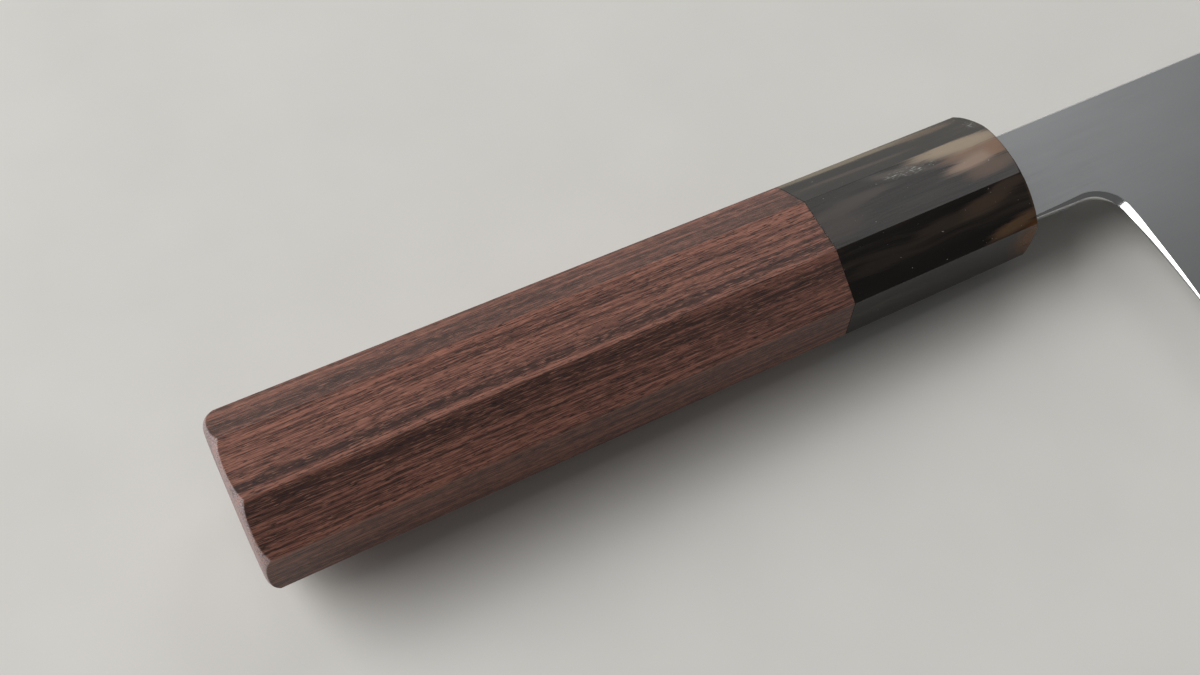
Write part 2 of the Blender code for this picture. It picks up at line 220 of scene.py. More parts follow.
def seamEdge(x, radius, inward):
    # quarter turn from the side onto the end face at the seam between wood and horn
    turn = np.linspace(0.0, pi / 2, 4)
    ring = onSide(np.array([x]))
    reach = np.linalg.norm(ring, axis=-1)
    shrink = 1.0 - radius * (1.0 - np.cos(turn))[:, None] / reach
    return withX(np.repeat((x - inward * radius * (1.0 - np.sin(turn)))[:, None], len(ring), axis=1),
                 ring * shrink[..., None])


def easedDepth(end, thickness, yz):
    # How far an eased end has turned back: nothing on its flat, then an arc that starts from an ellipse, and
    # straight on once the arc has turned far enough. The ellipse reaches less far towards the back, so that
    # side is eased a little further.
    radius, turnEnd = end["easeRadius"], handle["easeTurn"]
    stretch = np.where(yz[..., 0] > 0.0, end["spineStretch"], end["edgeStretch"])
    out = np.hypot(yz[..., 0] / stretch, yz[..., 1]) - (thickness / 2 - end["easeInset"])
    onArc = np.clip(out, 0.0, radius * np.sin(turnEnd))
    past = np.maximum(out - radius * np.sin(turnEnd), 0.0)
    return radius - np.sqrt(radius ** 2 - onArc ** 2) + past * np.tan(turnEnd)


def easedEnd(end, thickness, atX, inward):
    # Rings from inside the end's flat out over its easing, closer together towards the rim, then round the
    # crisp edge by a parabola and onto the sides. The edge lies where easing and sides meet, found by going
    # to and fro between the two.
    corner = onSide(np.array([atX]))
    for _ in range(5):
        x = atX + inward * easedDepth(end, thickness, corner)
        corner = onSide(x)
    reach = np.linalg.norm(corner, axis=-1)
    t = np.linspace(0.0, 1.0, handle["easeSteps"])
    share = end["faceFrom"] + (1.0 - end["faceFrom"]) * (1.0 - (1.0 - t) ** 1.4)
    share = share[:, None] * (1.0 - end["edgeRadius"] / reach)
    plan = corner * share[..., None]
    face = withX(atX + inward * easedDepth(end, thickness, plan), plan)
    onto = x + inward * end["edgeRadius"]
    beyond = onto + inward * handle["edgeLead"]
    t = np.linspace(0.0, 1.0, handle["edgeSteps"])[1:, None, None]
    edge = (1 - t) ** 2 * face[-1] + 2 * t * (1 - t) * withX(x, corner) + t ** 2 * withX(onto, onSide(onto))
    return face, np.concatenate([edge, withX(beyond, onSide(beyond))[None]])


def handleBodyRings():
    # from the butt's middle out over its easing, along the sides to the seam, and back in to the bore's floor
    b = buttEnd
    ring = onSide(np.zeros(1))
    face, edge = easedEnd(b, handle["buttThickness"], 0.0, 1.0)
    middle = face[0] * np.linspace(0.08, 0.93, 6)[:, None, None]         # the flat inside the easing
    # the sides' rings are a little closer at the butt, and two lie at the seam so that it shades crisply
    seamX = handle["length"] - handle["ferruleLength"] - b["seamGap"]
    share = np.append(np.linspace(0.0, 1.0, b["sideSteps"])[1:-1] ** 1.15, [0.9995, 1.0])[:, None]
    x = edge[-1, :, 0] + (seamX - b["seamRadius"] - edge[-1, :, 0]) * share
    sides = withX(x, onSide(x))
    seam = seamEdge(seamX, b["seamRadius"], 1.0)[1:]
    boreX = [seamX, seamX - b["boreEase"], *b["boreAt"], b["solid"] + b["boreEase"], b["solid"]]
    bore = roundBore(np.array(boreX), np.append(np.ones(len(boreX) - 1), 0.97) * b["boreRadius"], ring)
    floor = roundBore(np.full(3, b["solid"]), np.array([0.7, 0.4, 0.1]) * b["boreRadius"], ring)
    rings = np.concatenate([middle, face, edge, sides, seam, bore, floor])
    # how much of the end grain shows: all on the butt, less and less round its edge
    endGrain = np.zeros(rings.shape[:2])
    cutAcross = len(middle) + len(face)
    endGrain[:cutAcross] = 1.0
    endGrain[cutAcross:cutAcross + 5] = np.linspace(0.9, 0.1, 5)[:, None]
    return rings, {"endGrain": endGrain}


def ferruleRings():
    # from the seam along the sides, over the front's easing, in through the mouth and back down the bore
    f = ferruleFront
    length = handle["length"]
    seamX = length - handle["ferruleLength"] + buttEnd["seamGap"]
    seam = seamEdge(seamX, buttEnd["seamRadius"], -1.0)[::-1]
    face, edge = easedEnd(f, handle["frontThickness"], length, -1.0)
    share = np.insert(np.linspace(0.0, 1.0, f["sideSteps"])[1:-1], 0, 0.0015)[:, None]
    x = seamX + buttEnd["seamRadius"] + (edge[-1, :, 0] - seamX - buttEnd["seamRadius"]) * share
    sides = withX(x, onSide(x))
    # the mouth: the octagon's points squeezed onto the slot's outline, corner to corner
    outline = octagonRings(np.array([length]), np.zeros(1), np.full(1, 1e-6))[0]
    halfLong = f["mouthHeight"] / 2 + f["mouthGap"]
    halfThick = f["mouthThickness"] / 2 + f["mouthGap"]
    cornerY = outline[:, 0].max()
    cornerZ = np.abs(outline[outline[:, 0] > cornerY - 1e-5][:, 1]).max()
    box = np.clip(outline / np.array([cornerY, cornerZ]), -1, 1) * np.array([halfLong, halfThick])
    lip = np.sign(box) * f["mouthRadius"] * (np.abs(box) > np.array([halfLong, halfThick]) - 1e-7)
    mouth = box + np.array([f["mouthTop"] - f["mouthHeight"] / 2, 0.0])
    # rings over the flat from the easing to the mouth, one of them close to its lip
    toMouth = np.array([0.25, 0.5, 0.75, 0.98, 1.0])[:, None, None]
    plan = face[0, :, 1:] + (mouth + lip - face[0, :, 1:]) * toMouth
    front = withX(length - easedDepth(f, handle["frontThickness"], plan), plan)
    wallX = [length - f["mouthRadius"], *(length - at for at in f["wallAt"]), f["boreEnd"] + f["boreLip"]]
    walls = [withX(np.full(len(mouth), at), mouth) for at in wallX]
    boreX = [f["boreEnd"], f["boreEnd"] - f["boreEase"], *f["boreAt"], seamX]
    bore = roundBore(np.array(boreX), np.full(len(boreX), f["boreRadius"]), onSide(np.zeros(1)))
    return np.concatenate([seam, sides, edge[::-1], face[::-1], front, np.array(walls), bore])


def edgeY(x):
    # the cutting edge: flat from the heel, then rising ever faster towards the tip, by a power of the way
    b = blade
    along = np.clip((x - heelX - b["edgeFlat"]) / (b["edgeLength"] - b["edgeFlat"]), 0.0, 1.0)
    return b["spineOffset"] - b["heelHeight"] + b["tipRise"] * along ** b["edgeCurve"]


def spineY(x):
    # the back: falls by the square of the way from the neck, so it is nearly straight, then runs down the
    # angled clip to the point, with the low arch of a parabola on top
    b = blade
    along = np.clip((x - heelX) / (clipX - heelX), 0.0, 1.0)
    down = np.clip((x - clipX) / b["clipLength"], 0.0, 1.0)
    fall = b["heelHeight"] - b["tipRise"] - b["spineDrop"] - b["pointHeight"]
    return (b["spineOffset"] - b["spineDrop"] * along ** 2 - fall * down
            + b["clipBulge"] * 4.0 * down * (1.0 - down))


def neckBottom(x):
    # the neck's underside: straight, a little lower at the inner corner than at the ferrule
    b = blade
    along = (x - handle["length"]) / (machiX - handle["length"])
    growth = b["neckHeightAtMachi"] - b["neckHeightAtFerrule"]
    return b["spineOffset"] - b["neckHeightAtFerrule"] - growth * along


def halfThickness(x, y):
    # Half the steel's thickness: flat faces that thin towards the tip, and by faceDrop of the way down from
    # the back. They are ground convex down to the edge (one less the square of what is left of the grind),
    # and the straight honed bevel comes last.
    b = blade
    places = [b["tangStart"], b["shoulder"], b["neck"], handle["length"], heelX, heelX + b["edgeLength"]]
    thick = [b["tangEndThickness"], b["tangRootThickness"], b["neckThickness"], b["neckThickness"],
             b["heelThickness"], b["tipThickness"]]
    lengthwise = np.interp(x, places, thick) / 2
    onBlade = np.clip((x - machiX) / b["machiRadius"], 0.0, 1.0)
    face = lengthwise - b["faceDrop"] * onBlade * (b["spineOffset"] - y)
    aboveEdge = y - edgeY(x)
    aboveBevel = np.clip((aboveEdge - b["bevelWidth"]) / (b["grindHeight"] - b["bevelWidth"]), 0.0, 1.0)
    shoulder = b["bevelThickness"] / 2
    ground = shoulder + (face - shoulder) * (1.0 - (1.0 - aboveBevel) ** 2)
    upBevel = np.clip(aboveEdge / b["bevelWidth"], 0.0, 1.0)
    bevel = b["edgeLand"] / 2 + (shoulder - b["edgeLand"] / 2) * upBevel
    return np.where(aboveEdge < b["bevelWidth"], bevel, ground)


def bladeStations():
    # Matching points along the back and the underside, from the tang's end to the tip, and the way into the
    # steel, square to the underside. Down the choil, which sweeps forward to the heel as the cube of what is
    # left, the stations fan out, so that none runs outside the steel.
    b = blade
    rings = b["rings"]
    fanX = heelX + b["heelHeight"] / 2
    heelY = b["spineOffset"] - b["heelHeight"]
    tang = np.linspace(b["tangStart"], b["shoulder"], rings["tang"])
    halfTang = (b["tangEndHeight"] + (b["tangRootHeight"] - b["tangEndHeight"])
                * (tang - b["tangStart"]) / (b["shoulder"] - b["tangStart"])) / 2
    neck = np.linspace(b["neck"], machiX, rings["neck"])
    turn, down, along, clip = (np.linspace(0.0, 1.0, rings[part] + 1)[1:]
                               for part in ("corner", "choil", "edge", "clip"))
    machiAngle = turn * radians(b["machiTurn"])
    choilX = machiX + b["machiRadius"] * np.sin(machiAngle[-1])
    choilY = neckBottom(machiX) - b["machiRadius"] * (1.0 - np.cos(machiAngle[-1]))
    toCorner = len(tang) + len(neck)
    toHeel = toCorner + len(turn) + len(down)
    backX = np.concatenate([tang, neck, machiX + b["machiRadius"] * turn, heelX + (fanX - heelX) * down,
                            fanX + (clipX - fanX) * along, clipX + b["clipLength"] * clip])
    underX = np.concatenate([tang, neck, machiX + b["machiRadius"] * np.sin(machiAngle),
                             heelX - (heelX - choilX) * (1.0 - down) ** 3,
                             heelX + (clipX - heelX) * along, clipX + b["clipLength"] * clip])
    backY = np.concatenate([halfTang, np.full(len(neck), b["spineOffset"]), spineY(backX[toCorner:])])
    underY = np.concatenate([-halfTang, neckBottom(neck),
                             neckBottom(machiX) - b["machiRadius"] * (1.0 - np.cos(machiAngle)),
                             choilY + (heelY - choilY) * down, edgeY(underX[toHeel:])])
    onEdge = np.arange(len(backX)) >= toHeel - 1
    # the choil leans by the cube's slope
    lean = np.arctan(3.0 * (heelX - choilX) / (choilY - heelY) * (1.0 - down) ** 2)
    angle = np.concatenate([np.zeros(toCorner), machiAngle, pi / 2 - lean, np.zeros(len(along) + len(clip))])
    inward = np.stack([np.sin(angle), np.cos(angle)], axis=-1)
    return np.stack([backX, backY], axis=-1), np.stack([underX, underY], axis=-1), inward, onEdge


def bladeRings():
    # Each ring goes up one face from the underside to the back and down the other. Along neck and choil it
    # first goes square into the steel, up the relief. Along the cutting edge it starts at the edge's land and
    # goes up the honed bevel. At the back it ends in a quarter turn.
    b = blade
    back, under, inward, onEdge = bladeStations()
    length = np.linalg.norm(back - under, axis=1)
    direct = (back - under) / length[:, None]
    inward = np.where(onEdge[:, None], direct, inward)
    steps = b["roundSteps"]
    t = np.linspace(0.0, pi / 2, steps)
    rise = np.linspace(0.0, 1.0, steps)
    reach = np.interp(b["spineOffset"] - under[:, 1], b["reliefAt"], b["reliefIn"])
    reach = reach * np.interp(under[:, 0], [handle["length"], machiX], [b["reliefAtFerrule"], 1.0])
    reach = np.minimum(np.where(onEdge, b["bevelWidth"], reach), length / 4)
    flat = np.interp(b["spineOffset"] - under[:, 1], b["flatAt"], b["reliefFlatness"])[:, None]
    lowIn = (1.0 - flat) * (1.0 - np.cos(t)) + flat * rise
    lowUp = (1.0 - flat) * np.sin(t) + flat * rise
    lowReach = reach[:, None] * np.where(onEdge[:, None], rise, lowIn)
    low = under[:, None, :] + inward[:, None, :] * lowReach[..., None]
    lowHeight = halfThickness(low[:, -1, 0], low[:, -1, 1])[:, None]
    depth = b["reliefDepth"] * np.minimum(lowHeight, reach[:, None])
    lowZ = np.where(onEdge[:, None], b["edgeLand"] / 2 + (lowHeight - b["edgeLand"] / 2) * rise,
                    lowHeight - depth * (1.0 - lowUp))

    # the back's rounding stays under a quarter of the height and four fifths of half the steel
    highRound = np.minimum(b["backRounding"], length / 4)
    inner = back - direct * highRound[:, None]
    highRound = np.minimum(highRound, 0.8 * halfThickness(inner[:, 0], inner[:, 1]))
    run = back - low[:, -1]
    runLength = np.linalg.norm(run, axis=1)
    run = run / runLength[:, None]
    highA = (runLength - highRound)[:, None] + highRound[:, None] * np.sin(t)
    # the face between them, its points gathered towards the edge where the grind curves most, and two more
    # close to each end to keep the shading of the rounds off the face
    share = np.linspace(0.0, 1.0, b["faceSteps"])[1:-1] ** 1.25
    share = np.concatenate([[0.0012, 0.006], share, [0.994, 0.9988]])
    faceA = highA[:, :1] * share
    plan = low[:, -1][:, None, :] + run[:, None, :] * np.concatenate([faceA, highA], axis=1)[..., None]
    onFace, first = plan[:, :len(share)], plan[:, len(share):len(share) + 1]
    faceZ = halfThickness(onFace[..., 0], onFace[..., 1])
    highHeight = halfThickness(first[..., 0], first[..., 1])
    highZ = np.maximum(highHeight - highRound[:, None] * (1.0 - np.cos(t)), b["edgeLand"] / 4)
    height = np.concatenate([lowZ, faceZ, highZ], axis=1)
    upper = np.concatenate([np.concatenate([low, plan], axis=1), height[..., None]], axis=-1)
    lower = upper[:, ::-1].copy()
    lower[..., 2] *= -1.0
    rings = np.concatenate([upper, lower], axis=1)
    # the rounds are polished, and along the cutting edge the bevel is honed instead
    finish = np.zeros(upper.shape[1])
    finish[:steps - 1], finish[-steps:] = 1.0, 1.0
    polished = np.repeat(np.concatenate([finish, finish[::-1]])[None, :], len(rings), axis=0)
    honed = np.zeros_like(polished)
    for mark, value in ((honed, 1.0), (polished, 0.0)):
        mark[onEdge, :steps], mark[onEdge, -steps:] = value, value
    return rings, {"polished": polished, "honed": honed}


print("handle body")
bodyRings, bodyMarks = handleBodyRings()
handleBody = makePiece("handleBody", bodyRings, False, "handle_body", bodyMarks)
print("ferrule")
ferrule = makePiece("hornFerrule", ferruleRings(), True, "ferrule",
                    sharp=ferruleFront["sharpAngle"])
print("blade")
bladeShell, bladeMarks = bladeRings()
steelBlade = makePiece("bladeSteel", bladeShell, False, "blade", bladeMarks,
                       sharp=blade["sharpAngle"])

for piece in (handleBody, ferrule, steelBlade):
    print(piece.name, len(piece.data.polygons), "faces")


def add(tree, kind, inputs=None, stops=None, **settings):
    # one node: its settings, then each input's value or the socket that feeds it, then a ramp's colours
    node = tree.nodes.new(kind)
    for key, value in settings.items():
        setattr(node, key, value)
    for key, value in (inputs or {}).items():
        if isinstance(value, bpy.types.NodeSocket):
            tree.links.new(value, node.inputs[key])
        else:
            node.inputs[key].default_value = value
    if stops:
        ramp = node.color_ramp
        for place, _ in stops[2:]:
            ramp.elements.new(place)
        for element, (place, colour) in zip(ramp.elements, stops):
            element.position, element.color = place, toLinear(colour)
    return node


def startMaterial(name):
    # Gives the tree, its shader and the piece's own coordinates in millimetres, in the knife's frame:
    # Object coordinates turned back by the pitch and divided by a thousandth
    material = bpy.data.materials.new(name)
    material.use_nodes = True
    tree = material.node_tree
    shader = tree.nodes["Principled BSDF"]
    place = add(tree, "ShaderNodeTexCoord")
    knifeMm = add(tree, "ShaderNodeMapping", {"Vector": place.outputs["Object"], "Location": lie["place"],
                                              "Rotation": (0.0, lie["pitch"], 0.0), "Scale": (0.001,) * 3},
                  vector_type="TEXTURE")
    return material, tree, shader, knifeMm.outputs[0]


noiseLow, noiseHigh = 0.3, 0.7                         # nearly all of a noise lies between these


def sizedNoise(tree, source, sizeMm, moved=(0.0, 0.0, 0.0), tilt=0.0, detail=2.0, rough=0.5):
    # Noise whose grains have the given size along the knife, across it and through it: the place, less
    # what it is moved by, turned back by the tilt about the knife's axis and divided by the size. A
    # pattern is moved only to keep it apart from the others.
    place = add(tree, "ShaderNodeMapping", {"Vector": source, "Location": moved, "Scale": sizeMm,
                                            "Rotation": (radians(tilt), 0.0, 0.0)}, vector_type="TEXTURE")
    return add(tree, "ShaderNodeTexNoise", {"Vector": place.outputs[0], "Scale": 1.0, "Detail": detail,
                                            "Roughness": rough})


def wander(tree, source, sizeMm, reachMm):
    # the place moved to and fro by a slow noise, by up to half the reach each way
    slow = sizedNoise(tree, source, sizeMm, detail=1.0).outputs["Color"]
    slow = add(tree, "ShaderNodeVectorMath", {0: slow, 1: (0.5, 0.5, 0.5)}, operation="SUBTRACT").outputs[0]
    slow = add(tree, "ShaderNodeVectorMath", {0: slow, 1: reachMm}, operation="MULTIPLY").outputs[0]
    return add(tree, "ShaderNodeVectorMath", {0: source, 1: slow}, operation="ADD").outputs[0]


def blendPatterns(tree, parts):
    # a level that starts at one half and is moved up or down by each pattern in its share
    level = 0.5
    for value, share in parts:
        lowered = add(tree, "ShaderNodeMath", {0: level, 1: -share / 2}, operation="ADD").outputs[0]
        level = add(tree, "ShaderNodeMath", {0: value, 1: share, 2: lowered},
                    operation="MULTIPLY_ADD").outputs[0]
    return level


def scatter(tree, source, marks):
    # how much of a scattered mark is at a place: the part of its noise that lies in its range, from the
    # least share to the most
    noise = sizedNoise(tree, source, marks["mm"], marks["moved"], detail=marks["detail"],
                       rough=marks["rough"])
    (low, high), (least, most) = marks["range"], marks["share"]
    return add(tree, "ShaderNodeMapRange", {"Value": noise.outputs["Fac"], "From Min": low, "From Max": high,
                                            "To Min": least, "To Max": most}).outputs[0]


def layColours(tree, colour, layers):
    # each layer's colour goes over what is there, by its share
    for share, over in layers:
        colour = add(tree, "ShaderNodeMix", {0: share, 6: colour, 7: toLinear(over)},
                     data_type="RGBA").outputs[2]
    return colour


# Oiled rosewood: sanded fine and rubbed with oil, so it is satin. Straight fine grain of short red-brown
# fibres, dark grey-brown growth streaks, open pores that show as dark dashes and paler fibres, their
# flecks brightened as painted glints. Fibres and pores are about 0.1 mm wide and are drawn a little
# wider than that to show.
rosewood = {
    "tones": [(0.22, "#3e2925"), (0.39, "#50342d"), (0.50, "#69473d"), (0.61, "#7a5043"), (0.80, "#976555")],
    "wanderMm": (75.0, 18.0, 18.0), "wanderReach": (0.0, 1.6, 1.6), "ringTilt": 24.0,
    "streakMm": (240.0, 2.1, 2.3), "fineStreakMm": (170.0, 0.45, 0.55), "fibreMm": (5.0, 0.12, 0.12),
    "streakShare": 0.76, "fineShare": 1.00, "fibreShare": 1.60,
    # growth bands and a painted shade band that run the whole handle: place across it in mm, half width in
    # mm, change of tone
    # the first, widest band is painted shade over the spine-side slanting flat; the others are growth bands
    "growthBandsAndShade": [(8.4, 3.6, -0.23), (4.5, 1.4, 0.29), (0.8, 1.3, 0.13), (-3.5, 1.15, -0.33),
                    (-5.3, 1.5, 0.17), (-7.6, 1.5, -0.12), (-9.4, 1.0, 0.12)],
    # the fleck colour is the pale fibres' own colour brightened as a painted glint
    "fleckGlintColour": "#b5806a", "poreColour": "#1e1716", "endGrainGlintColour": "#a59a9b",
    "fleck": {"mm": (1.8, 0.13, 0.13), "moved": (9.0, 2.0, 17.0), "detail": 1.0, "rough": 0.4,
              "range": (0.59, 0.71), "share": (0.0, 0.55)},
    "pore": {"mm": (1.5, 0.14, 0.14), "moved": (0.0, 11.0, 2.0), "detail": 1.0, "rough": 0.4,
             "range": (0.61, 0.68), "share": (0.0, 0.85)},
    # the end grain's specks are painted glints over its paler, greyer colour
    "endGlint": {"mm": (0.22, 0.22, 0.22), "moved": (3.0, 5.0, 7.0), "detail": 2.0, "rough": 0.7,
                 "range": (0.38, 0.72), "share": (0.12, 1.0)},
    "roughness": (0.43, 0.59), "bumpMm": 0.035, "bumpStrength": 0.7, "ior": 1.47,
    # the oil shines a little more from sheenFrom onwards, in mm from the butt, towards the ferrule
    "sheen": 0.42, "sheenAtFerrule": 0.70, "sheenFrom": 50.0,
}


def makeRosewood():
    r = rosewood
    material, tree, shader, mm = startMaterial("oiledRosewood")
    # the grain wanders a little from side to side along the handle
    grain = wander(tree, mm, r["wanderMm"], r["wanderReach"])
    streak = sizedNoise(tree, grain, r["streakMm"], (40.0, 3.3, 1.7), r["ringTilt"], rough=0.6).outputs["Fac"]
    fine = sizedNoise(tree, grain, r["fineStreakMm"], (31.0, 7.0, 0.0), r["ringTilt"]).outputs["Fac"]
    fibre = sizedNoise(tree, grain, r["fibreMm"], (5.0, 3.0, 1.0), rough=0.6).outputs["Fac"]
    tone = blendPatterns(tree, [(streak, r["streakShare"]), (fine, r["fineShare"]), (fibre, r["fibreShare"])])
    across = add(tree, "ShaderNodeSeparateXYZ", {0: grain}).outputs["Y"]
    # each band raises or lowers the tone; the first is painted shade on the spine-side slanting flat, the
    # rest growth bands
    for place, halfWidth, change in r["growthBandsAndShade"]:
        away = add(tree, "ShaderNodeMath", {0: across, 1: -place}, operation="ADD").outputs[0]
        away = add(tree, "ShaderNodeMath", {0: away}, operation="ABSOLUTE").outputs[0]
        band = add(tree, "ShaderNodeMapRange", {"Value": away, "From Min": halfWidth, "From Max": 0.0,
                                                "To Max": change}, interpolation_type="SMOOTHSTEP").outputs[0]
        tone = add(tree, "ShaderNodeMath", {0: tone, 1: band}, operation="ADD").outputs[0]
    colour = add(tree, "ShaderNodeValToRGB", {"Fac": tone}, stops=r["tones"]).outputs[0]

    pore = scatter(tree, grain, r["pore"])
    # cut across, the fibre ends look paler and greyer, and the brighter specks scattered over them are
    # painted glints
    ends = add(tree, "ShaderNodeAttribute", attribute_name="endGrain").outputs["Fac"]
    ends = add(tree, "ShaderNodeMath", {0: ends, 1: scatter(tree, mm, r["endGlint"])},
               operation="MULTIPLY").outputs[0]
    # pale fibre flecks with painted glints, then the dark pores, then the end grain
    colour = layColours(tree, colour, [(scatter(tree, grain, r["fleck"]), r["fleckGlintColour"]),
                                       (pore, r["poreColour"]), (ends, r["endGrainGlintColour"])])
    tree.links.new(colour, shader.inputs["Base Color"])
    smooth, rough = r["roughness"]
    rough = add(tree, "ShaderNodeMapRange", {"Value": fibre, "From Min": noiseLow, "From Max": noiseHigh,
                                             "To Min": smooth, "To Max": rough}).outputs[0]
    tree.links.new(rough, shader.inputs["Roughness"])
    # fibres stand up and pores lie deep
    height = add(tree, "ShaderNodeMath", {0: pore, 1: -1.0, 2: fibre}, operation="MULTIPLY_ADD").outputs[0]
    bump = add(tree, "ShaderNodeBump", {"Height": height, "Strength": r["bumpStrength"],
                                        "Distance": r["bumpMm"] / 1000})
    tree.links.new(bump.outputs[0], shader.inputs["Normal"])
    shader.inputs["IOR"].default_value = r["ior"]
    along = add(tree, "ShaderNodeSeparateXYZ", {0: mm}).outputs["X"]
    seamMm = (handle["length"] - handle["ferruleLength"]) * 1000
    sheen = add(tree, "ShaderNodeMapRange", {"Value": along, "From Min": r["sheenFrom"], "From Max": seamMm,
                                             "To Min": r["sheen"], "To Max": r["sheenAtFerrule"]}).outputs[0]
    tree.links.new(sheen, shader.inputs["Specular IOR Level"])
    return material


# Polished buffalo horn: cut and buffed bright, so it is glossy. Near black with soft smoky brown bands along
# the axis, cream and tan streaks on top near the front, and amber where it is thin: at the lower front corner
# the horn's own amber with a painted glow of light through it, and round the rim a painted amber highlight.
# A few pale motes and a rubbed patch lie in the polish.
horn = {
    "bands": [(0.34, "#151210"), (0.50, "#1d1916"), (0.62, "#2a241f"), (0.78, "#40362e")],
    "wanderMm": (22.0, 7.0, 7.0), "wanderReach": (0.0, 4.0, 4.0),
    "bandMm": (44.0, 3.4, 3.4), "wispMm": (24.0, 1.1, 1.4), "hairMm": (13.0, 0.28, 0.35),
    "bandShare": 0.85, "wispShare": 0.45, "hairShare": 0.12,
    "moteColour": "#b9b4a8", "scuffColour": "#a3a6a2",
    "mote": {"mm": (0.5, 0.30, 0.30), "moved": (3.0, 1.0, 8.0), "detail": 1.0, "rough": 0.5,
             "range": (0.785, 0.825), "share": (0.0, 1.0)},
    "scuff": {"mm": (1.1, 0.22, 0.22), "moved": (1.0, 5.0, 2.0), "detail": 2.0, "rough": 0.6,
              "range": (0.55, 0.70), "share": (0.0, 1.0)},
    # fine lengthwise strokes of the buffing wheel, and how much duller the scuffs are
    "strokeMm": (9.0, 0.3, 0.3), "roughness": (0.12, 0.22), "scuffRoughness": 0.25,
    "gloss": 0.32, "ior": 1.54,
    # A patch is gone at the first of patchFade and full at the second, as shares of its size. The streaks
    # raise or lower it: their noises times the gains, less the drop. patchRange spreads the sum to its
    # strength.
    "patchFade": (1.1, 0.25), "patchRange": (0.10, 0.75),
    "streakGain": 1.2, "liftGain": 1.2, "liftDrop": 1.26,
    # each patch: colour, middle, size along the knife, across it and through it, turn in degrees, strength
    "patches": {
        "haze": ("#3d3530", (110.0, 1.7, 10.4), (13.0, 1.6, 1.5), 3.0, 0.9),
        "wisps": ("#4a443e", (120.5, 3.6, 10.3), (9.0, 1.3, 1.5), -12.0, 1.0),
        "cloud": ("#4a3b31", (131.0, -7.2, 8.9), (8.0, 2.0, 1.8), 4.0, 1.0),
        "lowCloud": ("#3a3029", (122.0, -7.6, 8.6), (9.0, 1.3, 1.3), 4.0, 0.9),
        "dimCloud": ("#2e2823", (110.0, -9.0, 7.6), (10.0, 2.2, 2.0), 3.0, 0.8),
        "seamHaze": ("#342c27", (105.5, -2.0, 10.4), (8.0, 3.0, 1.5), 3.0, 0.8),
        "underLobe": ("#564335", (135.5, -1.9, 10.2), (7.5, 2.1, 1.5), 4.0, 1.0),
        "slantTop": ("#463931", (136.0, -5.9, 9.7), (6.5, 1.5, 1.5), 3.0, 1.0),
        "between": ("#7c614e", (135.5, 2.3, 10.2), (10.5, 2.0, 1.5), 0.0, 1.0),
        "cream": ("#9a8974", (132.5, 4.2, 10.2), (15.0, 2.1, 0.55), -3.0, 1.0),
        "lowCream": ("#8d7664", (133.5, 0.3, 10.2), (8.5, 1.8, 1.5), 5.0, 1.0),
        "tan": ("#7c5a40", (138.8, 1.2, 10.2), (3.8, 2.4, 2.0), 0.0, 0.8),
        "backStreak": ("#463b33", (116.0, 8.3, 7.9), (20.0, 1.0, 1.0), -3.0, 0.7),
        "backStrip": ("#726857", (115.0, 12.3, 5.3), (25.0, 1.9, 1.5), -2.0, 1.0),
        "brownStrip": ("#5c4b3c", (131.0, 11.3, 5.9), (9.0, 1.4, 1.2), -2.0, 0.8),
        # the horn's own amber at the lower front corner, painted brighter as a glow of light through it
        "amber": ("#6c4012", (140.8, -13.0, 1.0), (8.0, 2.8, 8.0), 0.0, 0.95),
        "amberLine": ("#5d4633", (135.5, -11.5, 5.7), (10.0, 1.6, 1.6), 10.0, 1.0),
    },
    # the rim: a painted amber highlight round the front edge, growing from rimFrom to rimTo in mm
    "rim": "#685236", "rimFrom": 139.2, "rimTo": 140.0, "rimShare": 0.6,
    # scuffs show in these two places: middle, size and turn
    "rubbed": ((122.5, 3.2, 10.3), (6.0, 1.1, 3.0), -4.0),
    "chipped": ((138.6, 8.4, 7.8), (1.3, 2.4, 2.4), 0.0),
}


